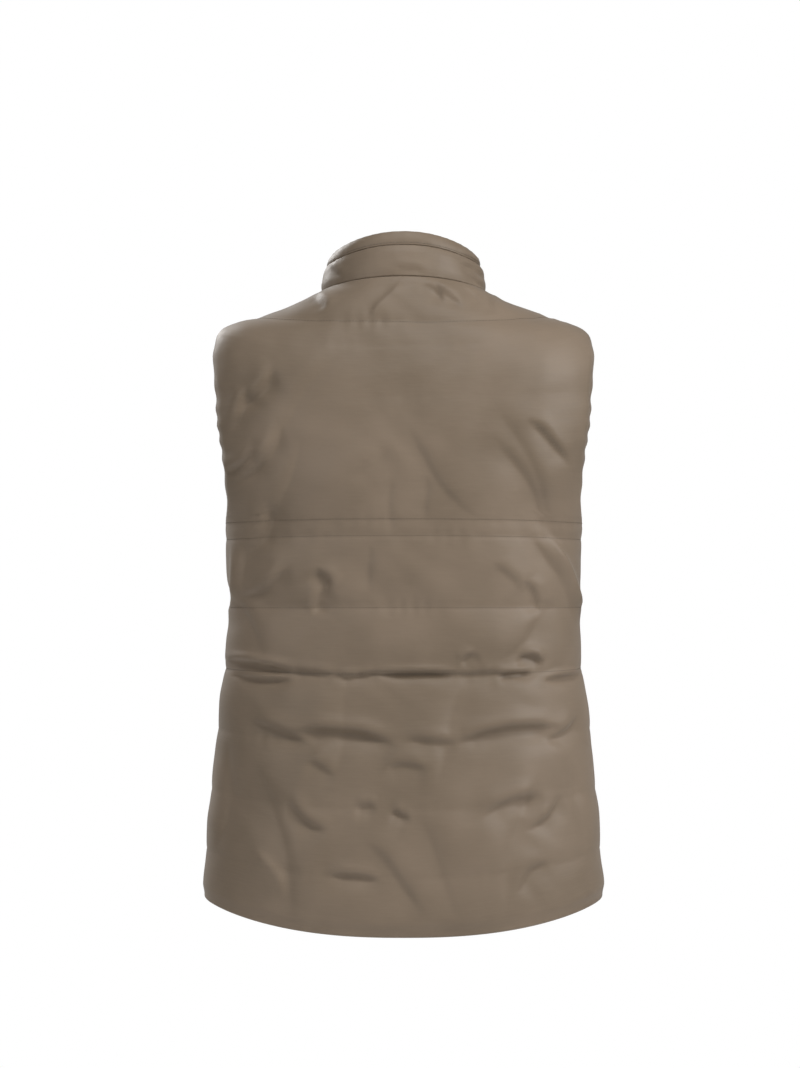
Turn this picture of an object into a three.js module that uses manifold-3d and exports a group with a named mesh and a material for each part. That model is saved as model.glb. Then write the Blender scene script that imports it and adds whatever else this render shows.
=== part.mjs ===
// A sleeveless padded vest with a stand collar and a front zip, in the hollow form that it has when it is worn.
// Millimetres, +Z up. The front faces -Y and the back +Y. The origin is the middle of the neck opening, level with
// the inner ends of the shoulder seams, where a wearer's shoulders carry it.
//
// The whole garment follows one form: closed rings round the body, each named by its height at centre back, and an
// angle round the ring that runs from the +X side (0) over the back (90) to the -X side (180) and the front (270).
import * as THREE from "three";
import { mergeVertices } from "three/addons/utils/BufferGeometryUtils.js";
import Module from "manifold-3d";

const wasm = await Module();
wasm.setup();

// ---------------------------------------------------------------- driving dimensions

const SEAM_GAP = 0.3;
const SEAM_WALL = 3; // the wall at seams, hems and stitch lines
const LOFT_OUT = 3.6; // how far the wadding lifts the outer face between two stitch lines
const LOFT_IN = 1.5;
const LOFT_MARGIN = 16; // the wadding thins out over this distance from an edge
const COLLAR_LOFT_OUT = 1.6;
const COLLAR_LOFT_IN = 0.6;
const COLLAR_MARGIN = 9;
const FRONT_EDGE = 4; // from the centre line of the zip to the edge of a front

// Rings of the body. back, side and front are a ring's heights there, the depths are from the side seam's plane,
// and squareness is the power of the superellipse seen from above.
const BODY = [
  { back: -680, side: -650, front: -656, halfWidth: 217, backDepth: 116, frontDepth: 124, squareness: 2.4 },
  { back: -617, side: -596, front: -600, halfWidth: 211, backDepth: 116, frontDepth: 125, squareness: 2.4 },
  { back: -545, side: -531, front: -534, halfWidth: 205, backDepth: 113, frontDepth: 124, squareness: 2.4 },
  { back: -473, side: -466, front: -468, halfWidth: 200, backDepth: 108, frontDepth: 123, squareness: 2.4 },
  { back: -402, side: -400, front: -400, halfWidth: 193, backDepth: 101, frontDepth: 121, squareness: 2.4 },
  { back: -330, side: -332, front: -332, halfWidth: 188, backDepth: 103, frontDepth: 122, squareness: 2.4 },
  { back: -230, side: -234, front: -236, halfWidth: 192, backDepth: 109, frontDepth: 123, squareness: 2.5 },
  { back: -180, side: -178, front: -192, halfWidth: 203, backDepth: 111, frontDepth: 120, squareness: 2.7 },
  { back: -128, side: -119, front: -152, halfWidth: 212, backDepth: 110, frontDepth: 114, squareness: 2.8 },
  { back: -90, side: -76, front: -125, halfWidth: 212, backDepth: 105, frontDepth: 105, squareness: 2.8 },
  { back: -60, side: -39, front: -104, halfWidth: 203, backDepth: 98, frontDepth: 96, squareness: 2.6 },
  { back: -46, side: -31, front: -95, halfWidth: 194, backDepth: 94, frontDepth: 92, squareness: 2.5 },
  { back: -22, side: -16, front: -83, halfWidth: 150, backDepth: 86, frontDepth: 86, squareness: 2.35 },
  { back: 6, side: 0.5, front: -72, halfWidth: 106, backDepth: 77, frontDepth: 80, squareness: 2.2 },
  { back: 24, side: 12.5, front: -64, halfWidth: 88.5, backDepth: 72, frontDepth: 76, squareness: 2.15 },
];
// Rings of the stand collar, which starts where the body ends.
const COLLAR = [
  BODY[BODY.length - 1],
  { back: 40, side: 25, front: -48, halfWidth: 86.5, backDepth: 69.5, frontDepth: 73.5, squareness: 2.15 },
  { back: 58, side: 40, front: -30, halfWidth: 83, backDepth: 66, frontDepth: 70.5, squareness: 2.15 },
  { back: 73, side: 54, front: -14, halfWidth: 76, backDepth: 62, frontDepth: 67, squareness: 2.15 },
];
const HEM = BODY[0].back;
const UNDERARM = BODY[6]; // the rings that touch the lowest and the highest point of the armholes
const SHOULDER_TIP = BODY[10];
const NECK = COLLAR[0].back;
const COLLAR_FOLD = COLLAR[2].back; // the top band of the collar starts here
const COLLAR_TOP = COLLAR[3].back;

// Lines of stitching round the body, by height at centre back. pinch is how far a line holds the wadding down, from
// 0 to 1, and the wadding below a line is divided into that many rows of facets.
const STITCH_LINES = [
  { height: NECK, pinch: 1, rows: 3 },
  { height: -27, pinch: 0.9, rows: 2 },
  { height: SHOULDER_TIP.back, pinch: 0.3, rows: 0 },
  { height: UNDERARM.back, pinch: 0.2, rows: 1 },
  { height: -238, pinch: 0.8, rows: 1 },
  { height: -254, pinch: 0.9, rows: 3 },
  { height: -330, pinch: 1, rows: 3 },
  { height: -396, pinch: 1, rows: 1 },
  { height: -407, pinch: 1, rows: 3 },
  { height: -473, pinch: 0.7, rows: 3 },
  { height: -545, pinch: 0.7, rows: 3 },
  { height: -617, pinch: 0.7, rows: 3 },
  { height: HEM, pinch: 1, rows: 0 },
];
const ARMHOLE_ROWS = 8; // closer together towards the top and the bottom of the armhole
const FULL_CHANNEL = 60; // a channel at least this high fills to the full loft

// The armhole as seen from the side: an egg from the shoulder tip to the underarm.
const ARMHOLE = {
  top: SHOULDER_TIP.side,
  bottom: UNDERARM.side,
  backReach: 54,
  frontReach: 62,
  roundness: 2.1,
};

// The largest folds of the worn back. A row is a soft trough from one end to the other, bowed downwards in the
// middle; across is measured round the ring from centre back, towards the -X side where it is positive.
const FOLDS = [
  { from: [-165, -460], to: [-10, -478], bow: 6, width: 24, depth: 4 },
  { from: [8, -476], to: [168, -460], bow: -6, width: 24, depth: 4 },
  { from: [-192, -394], to: [-100, -402], bow: 4, width: 20, depth: 4 },
  { from: [110, -390], to: [195, -411], bow: 4, width: 20, depth: 4 },
  { from: [-131, -146], to: [-178, -197], bow: 5, width: 22, depth: 3 },
  { from: [100, -158], to: [192, -345], bow: 8, width: 26, depth: 4 },
  { from: [-95, -290], to: [-105, -336], bow: 8, width: 22, depth: 3 },
];

const BACK_COLUMNS = 20;
const FRONT_COLUMNS = 10;

// ---------------------------------------------------------------- the form

// A smooth function of a ring's height at centre back through one column of a table, which never overshoots.
function through(table, column) {
  const rows = [...table].sort((a, b) => a.back - b.back);
  const slopes = rows.slice(1).map((r, i) => (r[column] - rows[i][column]) / (r.back - rows[i].back));
  const tangents = rows.map((_, i) => {
    if (i === 0) return slopes[0];
    if (i === rows.length - 1) return slopes[i - 1];
    const [before, after] = [slopes[i - 1], slopes[i]];
    return before * after <= 0 ? 0 : (2 * before * after) / (before + after);
  });
  return (height) => {
    const last = rows.length - 2;
    const i = Math.max(0, Math.min(last, rows.findIndex((r) => r.back > height) - 1));
    const k = height >= rows[rows.length - 1].back ? last : i;
    const span = rows[k + 1].back - rows[k].back;
    const t = (height - rows[k].back) / span;
    return (
      rows[k][column] * (1 + 2 * t) * (1 - t) ** 2 +
      rows[k + 1][column] * t * t * (3 - 2 * t) +
      span * (tangents[k] * t * (1 - t) ** 2 - tangents[k + 1] * t * t * (1 - t))
    );
  };
}

const COLUMNS = ["side", "front", "halfWidth", "backDepth", "frontDepth", "squareness"];
const bodyCurves = Object.fromEntries(COLUMNS.map((c) => [c, through(BODY, c)]));
const collarCurves = Object.fromEntries(COLUMNS.map((c) => [c, through(COLLAR, c)]));

// A point of the middle surface.
function form(height, angle) {
  const curves = height > NECK ? collarCurves : bodyCurves;
  const power = 2 / curves.squareness(height);
  const [c, s] = [Math.cos(angle), Math.sin(angle)];
  const depth = s >= 0 ? curves.backDepth(height) : curves.frontDepth(height);
  const end = s >= 0 ? height : curves.front(height);
  const side = curves.side(height);
  return new THREE.Vector3(
    curves.halfWidth(height) * Math.sign(c) * Math.abs(c) ** power,
    depth * Math.sign(s) * Math.abs(s) ** power,
    side + (end - side) * s * s,
  );
}

// The outward direction there. At the neck seam it is the mean of the body's and the collar's, so both meet in a mitre.
function outward(height, angle) {
  const [dh, da] = [0.5, 0.01];
  const low = Math.max(HEM, height - dh);
  const high = Math.min(COLLAR_TOP, height + dh);
  const up = form(high, angle).sub(form(low, angle));
  const round = form(height, angle + da).sub(form(height, angle - da));
  return round.cross(up).normalize();
}

// Angles that divide a ring evenly by length from one angle to another.
function evenAngles(height, from, to, count) {
  const fine = 120;
  const angles = Array.from({ length: fine + 1 }, (_, i) => from + ((to - from) * i) / fine);
  const points = angles.map((a) => form(height, a));
  const along = [0];
  for (let i = 1; i <= fine; i++) along.push(along[i - 1] + points[i].distanceTo(points[i - 1]));
  let k = 0;
  return Array.from({ length: count + 1 }, (_, i) => {
    const wanted = (along[fine] * i) / count;
    while (k < fine - 1 && along[k + 1] < wanted) k++;
    return angles[k] + ((angles[k + 1] - angles[k]) * (wanted - along[k])) / (along[k + 1] - along[k]);
  });
}

// How far round from the side seam a ring meets the armhole, towards the back (+1) or the front (-1).
function armholeAngle(height, towards) {
  const middle = (ARMHOLE.top + ARMHOLE.bottom) / 2;
  const half = (ARMHOLE.top - ARMHOLE.bottom) / 2;
  const reach = towards > 0 ? ARMHOLE.backReach : ARMHOLE.frontReach;
  const inside = (angle) => {
    const p = form(height, towards * angle);
    const edge = 1 - Math.abs((p.z - middle) / half) ** ARMHOLE.roundness;
    return edge > 0 && Math.abs(p.y) < reach * edge ** (1 / ARMHOLE.roundness);
  };
  if (height > NECK || !inside(1e-6)) return 0;
  let [low, high] = [0, Math.PI / 3];
  for (let i = 0; i < 40; i++) {
    const mid = (low + high) / 2;
    if (inside(mid)) low = mid;
    else high = mid;
  }
  return low;
}

// The angle on the front where a ring is this far from the zip's centre line, on the +X (1) or -X (-1) side.
function frontAngle(height, distance, side) {
  const curves = height > NECK ? collarCurves : bodyCurves;
  const c = (distance / curves.halfWidth(height)) ** (curves.squareness(height) / 2);
  return side > 0 ? 2 * Math.PI - Math.acos(c) : Math.PI + Math.acos(c);
}

// ---------------------------------------------------------------- wadding and folds

const smooth = (t) => {
  const x = Math.max(0, Math.min(1, t));
  return x * x * (3 - 2 * x);
};

// The heights of the rows of facets, from the hem to the neck.
const channelRows = STITCH_LINES.flatMap((line, i) =>
  Array.from({ length: line.rows }, (_, k) => {
    const next = STITCH_LINES[i + 1].height;
    return line.height + ((next - line.height) * k) / line.rows;
  }),
);
const armholeRows = Array.from({ length: ARMHOLE_ROWS }, (_, k) => {
  const t = (1 - Math.cos((Math.PI * k) / ARMHOLE_ROWS)) / 2;
  return SHOULDER_TIP.back + (UNDERARM.back - SHOULDER_TIP.back) * t;
});
const bodyHeights = [...channelRows, ...armholeRows, HEM].sort((a, b) => a - b);

const between = (low, high, steps) => Array.from({ length: steps + 1 }, (_, i) => low + ((high - low) * i) / steps);

// From 0 at a full stitch line to 1 at the crown of a channel.
function fullness(height) {
  const lines = STITCH_LINES.filter((line) => line.pinch > 0);
  const i = Math.max(1, lines.findIndex((line) => line.height <= height));
  const [upper, lower] = [lines[i - 1], lines[i]];
  const w = (upper.height - height) / (upper.height - lower.height);
  const held = upper.pinch * (1 - w) + lower.pinch * w;
  const crown = Math.min(1, (upper.height - lower.height) / FULL_CHANNEL);
  const base = 1 - held;
  return base + (1 - base) * crown * Math.sin(Math.PI * Math.max(0, Math.min(1, w)));
}

// How deep the folds are at a place on the back.
function foldDepth(across, height) {
  return FOLDS.reduce((sum, fold) => {
    const [ax, az] = fold.from;
    const [dx, dz] = [fold.to[0] - ax, fold.to[1] - az];
    const length = Math.hypot(dx, dz);
    const t = ((across - ax) * dx + (height - az) * dz) / length ** 2;
    const off = ((across - ax) * -dz + (height - az) * dx) / length - fold.bow * 4 * t * (1 - t);
    const along = smooth((t + 0.15) / 0.3) * smooth((1.15 - t) / 0.3);
    return sum + fold.depth * along * Math.exp(-((off / fold.width) ** 2) * 4);
  }, 0);
}

// ---------------------------------------------------------------- walls

// A closed wall from a grid of { outer, inner } points, given in rows from the bottom up.
function wallGeometry(grid) {
  const [rows, columns] = [grid.length, grid[0].length];
  const positions = ["outer", "inner"].flatMap((face) => grid.flatMap((row) => row.flatMap((p) => p[face].toArray())));
  const outer = (r, c) => r * columns + c;
  const inner = (r, c) => rows * columns + outer(r, c);
  const index = [];
  const quad = (a, b, c, d) => index.push(a, b, c, a, c, d);
  for (let r = 0; r < rows - 1; r++)
    for (let c = 0; c < columns - 1; c++) {
      quad(outer(r, c), outer(r, c + 1), outer(r + 1, c + 1), outer(r + 1, c));
      quad(inner(r, c), inner(r + 1, c), inner(r + 1, c + 1), inner(r, c + 1));
    }
  for (let c = 0; c < columns - 1; c++) {
    quad(inner(0, c), inner(0, c + 1), outer(0, c + 1), outer(0, c));
    quad(outer(rows - 1, c), outer(rows - 1, c + 1), inner(rows - 1, c + 1), inner(rows - 1, c));
  }
  for (let r = 0; r < rows - 1; r++) {
    quad(outer(r, 0), outer(r + 1, 0), inner(r + 1, 0), inner(r, 0));
    quad(inner(r, columns - 1), inner(r + 1, columns - 1), outer(r + 1, columns - 1), outer(r, columns - 1));
  }
  return new THREE.BufferGeometry()
    .setAttribute("position", new THREE.Float32BufferAttribute(positions, 3))
    .setIndex(index);
}

// The grid of a cloth panel. heights are its rings, anglesAt gives a ring's angles, loft gives how far the outer and
// the inner face stand off the seam wall, and drop gives a fold's depth. Seams close to half the seam gap.
function panel(heights, anglesAt, loft, drop = () => 0) {
  const places = heights.map((height) => anglesAt(height).map((angle) => ({ height, angle, at: form(height, angle) })));
  const inset = (p, towards) => p.at.clone().add(towards.at.clone().sub(p.at).setLength(SEAM_GAP / 2));
  const [lastRow, lastColumn] = [places.length - 1, places[0].length - 1];
  return wallGeometry(
    places.map((row, r) =>
      row.map((p, c) => {
        let at = p.at;
        if (c === 0) at = inset(p, row[1]);
        if (c === lastColumn) at = inset(p, row[c - 1]);
        if (r === 0) at = inset({ at }, places[1][c]);
        if (r === lastRow) at = inset({ at }, places[r - 1][c]);
        const edge = Math.min(
          p.at.distanceTo(row[0].at),
          p.at.distanceTo(row[lastColumn].at),
          p.at.distanceTo(places[0][c].at),
          p.at.distanceTo(places[lastRow][c].at),
        );
        const [out, inn] = loft(p.height, edge);
        const out_of = outward(p.height, p.angle);
        const down = edge > 0 ? drop(p) : 0;
        return {
          outer: at.clone().addScaledVector(out_of, SEAM_WALL / 2 + out - down),
          inner: at.clone().addScaledVector(out_of, -SEAM_WALL / 2 - inn - down),
        };
      }),
    ),
  );
}

const bodyLoft = (height, edge) => {
  const fill = fullness(height) * smooth(edge / LOFT_MARGIN);
  return [LOFT_OUT * fill, LOFT_IN * fill];
};
const collarLoft = (height, edge) => {
  const fill = smooth(edge / COLLAR_MARGIN);
  return [COLLAR_LOFT_OUT * fill, COLLAR_LOFT_IN * fill];
};

// A narrow strip along the zip, between two distances from its centre line and two offsets off the middle surface.
function zipStrip(heights, distances, low, high) {
  return wallGeometry(
    heights.map((height) =>
      distances.map((d) => {
        const angle = frontAngle(height, Math.abs(d), Math.sign(d) || 1);
        const at = form(height, d === 0 ? 1.5 * Math.PI : angle);
        const out_of = outward(height, 1.5 * Math.PI);
        return { outer: at.clone().addScaledVector(out_of, high), inner: at.clone().addScaledVector(out_of, low) };
      }),
    ),
  );
}

// ---------------------------------------------------------------- the zip's slider and pull tab

const ZIP = {
  teethHalf: 2.6, // half the width of the closed teeth
  teethLow: -1.75,
  teethHigh: 0.65,
  tapeInner: 1.2, // from the centre line to the near edge of a tape
  tapeOuter: 14,
  tapeWall: 1,
  tapeClear: 1.15, // from the inner face of the seam wall to a tape
  clearance: 0.35,
  end: 3, // the teeth stop this far below the collar's top edge
};
const SLIDER = {
  height: 60, // the ring that it sits on
  above: 5,
  below: 6,
  plate: 1,
  flange: 0.7,
  bridgeHalf: 1.2,
  bridgeReach: 4.6, // half the bridge's length
  bridgeWall: 1,
  bridgeLegs: 1.6,
  bridgeClear: 3, // the space under the bridge
};
const PULL = {
  length: 27,
  halfWidth: 4,
  neckHalf: 3.2,
  neckBelow: 1, // the neck and the shoulders end this far below the slot
  shoulderBelow: 3.5,
  wall: 1.6,
  barHalf: 0.8, // the bar that passes under the bridge
  slotHalf: 1.9,
  slotEnd: -6.4,
  corner: 2.2,
  gripRadius: 2,
  gripUp: 5, // from the lower end to the middle of the hole
};

// A closed mesh as a solid, and back.
function solid(geometry) {
  const bare = new THREE.BufferGeometry().setAttribute("position", geometry.getAttribute("position"));
  if (geometry.index) bare.setIndex(geometry.index);
  const merged = mergeVertices(bare, 1e-4);
  return new wasm.Manifold(
    new wasm.Mesh({
      numProp: 3,
      vertProperties: merged.attributes.position.array,
      triVerts: new Uint32Array(merged.index.array),
    }),
  );
}

function geometryOf(manifold) {
  const mesh = manifold.getMesh();
  return new THREE.BufferGeometry()
    .setAttribute("position", new THREE.BufferAttribute(new Float32Array(mesh.vertProperties), 3))
    .setIndex(new THREE.BufferAttribute(new Uint32Array(mesh.triVerts), 1));
}

function box(x, y, z) {
  const size = [x, y, z].map(([low, high]) => high - low);
  const middle = [x, y, z].map(([low, high]) => (high + low) / 2);
  return new THREE.BoxGeometry(...size).translate(...middle);
}

// The slider lies across the closed teeth: local X is across, Y up along the zip and Z outwards.
function sliderGeometry() {
  const inner = ZIP.teethHalf + ZIP.clearance;
  const outer = inner + SLIDER.flange;
  const low = ZIP.teethHigh + ZIP.clearance;
  const top = low + SLIDER.plate;
  const under = top + SLIDER.bridgeClear;
  const length = [-SLIDER.below, SLIDER.above];
  const across = [-SLIDER.bridgeHalf, SLIDER.bridgeHalf];
  const foot = ZIP.teethLow + ZIP.clearance;
  const overlap = 0.2; // how far the joined boxes reach into each other
  const parts = [
    box([-outer, outer], length, [low, top]),
    box([-outer, -inner], length, [foot, low + overlap]),
    box([inner, outer], length, [foot, low + overlap]),
    box(across, [SLIDER.bridgeLegs + 1.4, SLIDER.bridgeReach], [top - overlap, under + overlap]),
    box(across, [-SLIDER.bridgeReach, -SLIDER.bridgeLegs - 1.4], [top - overlap, under + overlap]),
    box(across, [-SLIDER.bridgeReach, SLIDER.bridgeReach], [under, under + SLIDER.bridgeWall]),
  ];
  return geometryOf(parts.map(solid).reduce((a, b) => a.add(b)));
}

// The pull tab hangs from its bar under the bridge: local Y runs up from the bar and Z outwards through its thickness.
function pullGeometry() {
  const { halfWidth, neckHalf, barHalf, slotHalf, slotEnd, length, corner, gripRadius, wall } = PULL;
  const outline = new THREE.Shape()
    .moveTo(-neckHalf, barHalf)
    .lineTo(-neckHalf, slotEnd - PULL.neckBelow)
    .lineTo(-halfWidth, slotEnd - PULL.shoulderBelow)
    .absarc(-halfWidth + corner, -length + corner, corner, Math.PI, 1.5 * Math.PI)
    .absarc(halfWidth - corner, -length + corner, corner, 1.5 * Math.PI, 2 * Math.PI)
    .lineTo(halfWidth, slotEnd - PULL.shoulderBelow)
    .lineTo(neckHalf, slotEnd - PULL.neckBelow)
    .lineTo(neckHalf, barHalf);
  const slot = new THREE.Path()
    .moveTo(-slotHalf, -barHalf)
    .lineTo(slotHalf, -barHalf)
    .lineTo(slotHalf, slotEnd)
    .lineTo(-slotHalf, slotEnd);
  const grip = new THREE.Path().absarc(0, -length + PULL.gripUp, gripRadius, 0, 2 * Math.PI);
  outline.holes.push(slot, grip);
  const settings = { depth: wall, bevelEnabled: false, curveSegments: 5 };
  return new THREE.ExtrudeGeometry(outline, settings).translate(0, 0, -wall / 2);
}

// ---------------------------------------------------------------- materials and the tree of pieces

const cloth = new THREE.MeshStandardMaterial({ color: 0x7a6c5b, roughness: 0.62, metalness: 0 });
const tapeCloth = new THREE.MeshStandardMaterial({ color: 0x574d40, roughness: 0.85, metalness: 0 });
const teethPlastic = new THREE.MeshStandardMaterial({ color: 0x4c443a, roughness: 0.45, metalness: 0 });
const sliderMetal = new THREE.MeshStandardMaterial({ color: 0x4a4540, roughness: 0.35, metalness: 0.8 });

const vest = new THREE.Group();

function add(name, geometry, material, parent = vest) {
  const mesh = new THREE.Mesh(geometry, material);
  mesh.name = name;
  parent.add(mesh);
  return mesh;
}

function addBack() {
  const lengthFromCentre = (height, angle) => {
    const steps = 24;
    let length = 0;
    for (let i = 0; i < steps; i++) {
      const a = Math.PI / 2 + ((angle - Math.PI / 2) * i) / steps;
      const b = Math.PI / 2 + ((angle - Math.PI / 2) * (i + 1)) / steps;
      length += form(height, a).distanceTo(form(height, b));
    }
    return Math.sign(angle - Math.PI / 2) * length;
  };
  const anglesAt = (height) => {
    const edge = armholeAngle(height, 1);
    return evenAngles(height, edge, Math.PI - edge, BACK_COLUMNS);
  };
  const drop = (p) => foldDepth(lengthFromCentre(p.height, p.angle), p.height);
  add("back_panel", panel(bodyHeights, anglesAt, bodyLoft, drop), cloth);
}

// side is 1 on the wearer's left (+X) and -1 on the right. Angles run the same way round on both, so faces point out.
function addFront(name, side) {
  const anglesAt = (height) => {
    const edge = armholeAngle(height, -1);
    const front = frontAngle(height, FRONT_EDGE, side);
    return side > 0
      ? evenAngles(height, front, 2 * Math.PI - edge, FRONT_COLUMNS)
      : evenAngles(height, Math.PI + edge, front, FRONT_COLUMNS);
  };
  add(name, panel(bodyHeights, anglesAt, bodyLoft), cloth);
}

// The collar has the columns of the panels below it, so that the neck seam's edges run side by side.
function addCollar() {
  const anglesAt = (height) => [
    ...evenAngles(height, frontAngle(height, FRONT_EDGE, 1) - 2 * Math.PI, 0, FRONT_COLUMNS),
    ...evenAngles(height, 0, Math.PI, BACK_COLUMNS).slice(1),
    ...evenAngles(height, Math.PI, frontAngle(height, FRONT_EDGE, -1), FRONT_COLUMNS).slice(1),
  ];
  const stand = between(NECK, COLLAR_FOLD, 4);
  const band = between(COLLAR_FOLD, COLLAR_TOP, 2);
  add("collar_stand", panel(stand, anglesAt, collarLoft), cloth);
  add("collar_top_band", panel(band, anglesAt, collarLoft), cloth);
}

function addZip() {
  const top = COLLAR_TOP - ZIP.end;
  const heights = [...bodyHeights, ...between(NECK, COLLAR_FOLD, 4).slice(1), ...between(COLLAR_FOLD, top, 2).slice(1)];
  const under = -SEAM_WALL / 2 - ZIP.tapeClear;
  const tape = [under - ZIP.tapeWall, under];
  const { tapeInner, tapeOuter, teethHalf } = ZIP;
  const middle = (tapeInner + tapeOuter) / 2;
  add("zip_tape_left", zipStrip(heights, [tapeInner, middle, tapeOuter], ...tape), tapeCloth);
  add("zip_tape_right", zipStrip(heights, [-tapeOuter, -middle, -tapeInner], ...tape), tapeCloth);
  add("zip_teeth", zipStrip(heights, [-teethHalf, teethHalf], ZIP.teethLow, ZIP.teethHigh), teethPlastic);

  const front = 1.5 * Math.PI;
  const out = outward(SLIDER.height, front);
  const across = new THREE.Vector3(1, 0, 0);
  const up = out.clone().cross(across);
  const place = new THREE.Group();
  place.setRotationFromMatrix(new THREE.Matrix4().makeBasis(across, up, out));
  place.position.copy(form(SLIDER.height, front));
  vest.add(place);
  add("zip_slider", sliderGeometry(), sliderMetal, place);
  const pull = add("zip_pull", pullGeometry(), sliderMetal, place);
  pull.position.z = ZIP.teethHigh + ZIP.clearance + SLIDER.plate + SLIDER.bridgeClear / 2;
}

addBack();
addFront("front_left", 1);
addFront("front_right", -1);
addCollar();
addZip();

export default vest;
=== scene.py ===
"""A sleeveless padded vest with a stand collar, hollow as it is worn.

The cloth is laid on the same rings as the fixed frame, in millimetres, and made in metres. The back faces +Y. A place
on the back is named as it is seen from straight behind: x to the viewer's right and z up, from the frame's origin.
"""

import math

import bmesh
import bpy
import numpy as np
from mathutils import Matrix, Vector, kdtree


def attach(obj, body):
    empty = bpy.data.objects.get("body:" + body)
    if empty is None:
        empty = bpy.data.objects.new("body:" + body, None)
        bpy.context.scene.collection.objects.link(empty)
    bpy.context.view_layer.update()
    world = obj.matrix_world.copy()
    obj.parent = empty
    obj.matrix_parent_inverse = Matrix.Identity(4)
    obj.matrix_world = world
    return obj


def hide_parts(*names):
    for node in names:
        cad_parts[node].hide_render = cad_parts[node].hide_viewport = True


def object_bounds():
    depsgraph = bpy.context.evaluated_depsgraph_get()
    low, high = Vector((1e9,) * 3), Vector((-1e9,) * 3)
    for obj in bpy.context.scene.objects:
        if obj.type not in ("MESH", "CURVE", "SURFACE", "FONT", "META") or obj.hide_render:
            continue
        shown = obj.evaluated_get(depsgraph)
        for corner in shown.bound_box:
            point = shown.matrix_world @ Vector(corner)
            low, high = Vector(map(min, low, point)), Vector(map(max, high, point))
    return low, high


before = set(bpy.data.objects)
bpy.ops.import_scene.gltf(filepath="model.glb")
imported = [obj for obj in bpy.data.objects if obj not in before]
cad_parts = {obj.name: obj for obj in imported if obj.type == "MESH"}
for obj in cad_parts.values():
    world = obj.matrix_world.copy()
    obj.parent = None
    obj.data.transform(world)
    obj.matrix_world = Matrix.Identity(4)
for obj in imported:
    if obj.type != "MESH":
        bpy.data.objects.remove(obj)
cad_bounds = [[float(v) for v in corner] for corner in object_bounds()]

MM = 0.001

# ------------------------------------------------------------------ the garment's sizes, in millimetres

SEAM_LAP = 0.4  # neighbouring pieces reach this far into each other, so no light passes a seam
SEAM_WALL = 3.0  # the wall at a seam, half of it on each side of the middle surface
WALL = 4.6  # the padded wall that shows at the free edges
LOFT = 4.0  # how far the wadding lifts the shell between two stitch lines
LOFT_MARGIN = 16.0  # from an edge to the wadding's full height
EDGE_ROLL = 2.2  # the radius of a turned edge
COLLAR_WALL = 3.4
COLLAR_LOFT = 1.3
COLLAR_MARGIN = 8.0
COLLAR_EDGE_ROLL = 1.4
FRONT_EDGE = 4.0  # from the zip's centre line to the edge of a front
CLOTH_STEP = 2.95  # the size of the cloth's mesh
EDGE_STEPS = (0, 0.5, 1.2, 2.4, 4.2)  # the mesh's places beside an edge, where it is closer
PANEL_WIDTHS = {"back": 520, "front": 262, "collar": 470}  # roughly, to count the columns of each mesh

RING_COLUMNS = ("back", "side", "front", "half_width", "back_depth", "front_depth", "squareness")
BODY_RINGS = (
    (-680, -650, -656, 217, 116, 124, 2.4),
    (-617, -596, -600, 211, 116, 125, 2.4),
    (-545, -531, -534, 205, 113, 124, 2.4),
    (-473, -466, -468, 200, 108, 123, 2.4),
    (-402, -400, -400, 193, 101, 121, 2.4),
    (-330, -332, -332, 188, 103, 122, 2.4),
    (-230, -234, -236, 192, 109, 123, 2.5),
    (-180, -178, -192, 203, 111, 120, 2.7),
    (-128, -119, -152, 212, 110, 114, 2.8),
    (-90, -76, -125, 212, 105, 105, 2.8),
    (-60, -39, -104, 203, 98, 96, 2.6),
    (-46, -31, -95, 194, 94, 92, 2.5),
    (-22, -16, -83, 150, 86, 86, 2.35),
    (6, 0.5, -72, 106, 77, 80, 2.2),
    (24, 12.5, -64, 88.5, 72, 76, 2.15),
)
COLLAR_RINGS = (
    (24, 12.5, -64, 88.5, 72, 76, 2.15),
    (40, 25, -48, 86.5, 69.5, 73.5, 2.15),
    (58, 40, -30, 83, 66, 70.5, 2.15),
    (73, 54, -14, 76, 62, 67, 2.15),
)
HEM, NECK = BODY_RINGS[0][0], BODY_RINGS[-1][0]
COLLAR_FOLD, COLLAR_TOP = COLLAR_RINGS[2][0], COLLAR_RINGS[3][0]
FRONT_MIDDLE = 1.5 * math.pi  # the angle of the zip's centre line
ARMHOLE = {"top": -39, "bottom": -234, "back": 54, "front": 62, "roundness": 2.1}

# Lines of stitching by ring, and how far each holds the wadding down, from 0 to 1.
STITCH_LINES = (
    (NECK, 1.0),
    (-27, 0.9),
    (-54, 0.35),
    (-108, 0.25),
    (-238, 0.7),
    (-254, 0.8),
    (-330, 0.95),
    (-402, 1.0),
    (-473, 0.5),
    (-545, 0.45),
    (-617, 0.4),
    (HEM, 1.0),
)
FULL_CHANNEL = 70.0  # a narrower channel between two lines stands lower
PUCKERS = {"height": 0.42, "per_mm": 0.36, "reach": 9.0}  # along every line of stitching
ARMHOLE_GATHERS = {"height": 0.9, "per_mm": 0.27, "reach": 13}
COLLAR_GATHERS = {"height": 0.22, "per_mm": 0.55, "reach": 7}

# The section of a crease. gain is of all depths and sharpness of all widths below; above and below are how far the
# trough spreads on each side of its line, and roll is where the lip stands, all in widths.
CREASE = {"gain": 1.65, "sharpness": 0.78, "above": 0.45, "below": 2.0, "roll": 1.3, "wander": 0.2}
CREASE_OVERRUN, CREASE_FADE = 0.12, 0.42  # beyond its ends and within them, in its length

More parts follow.
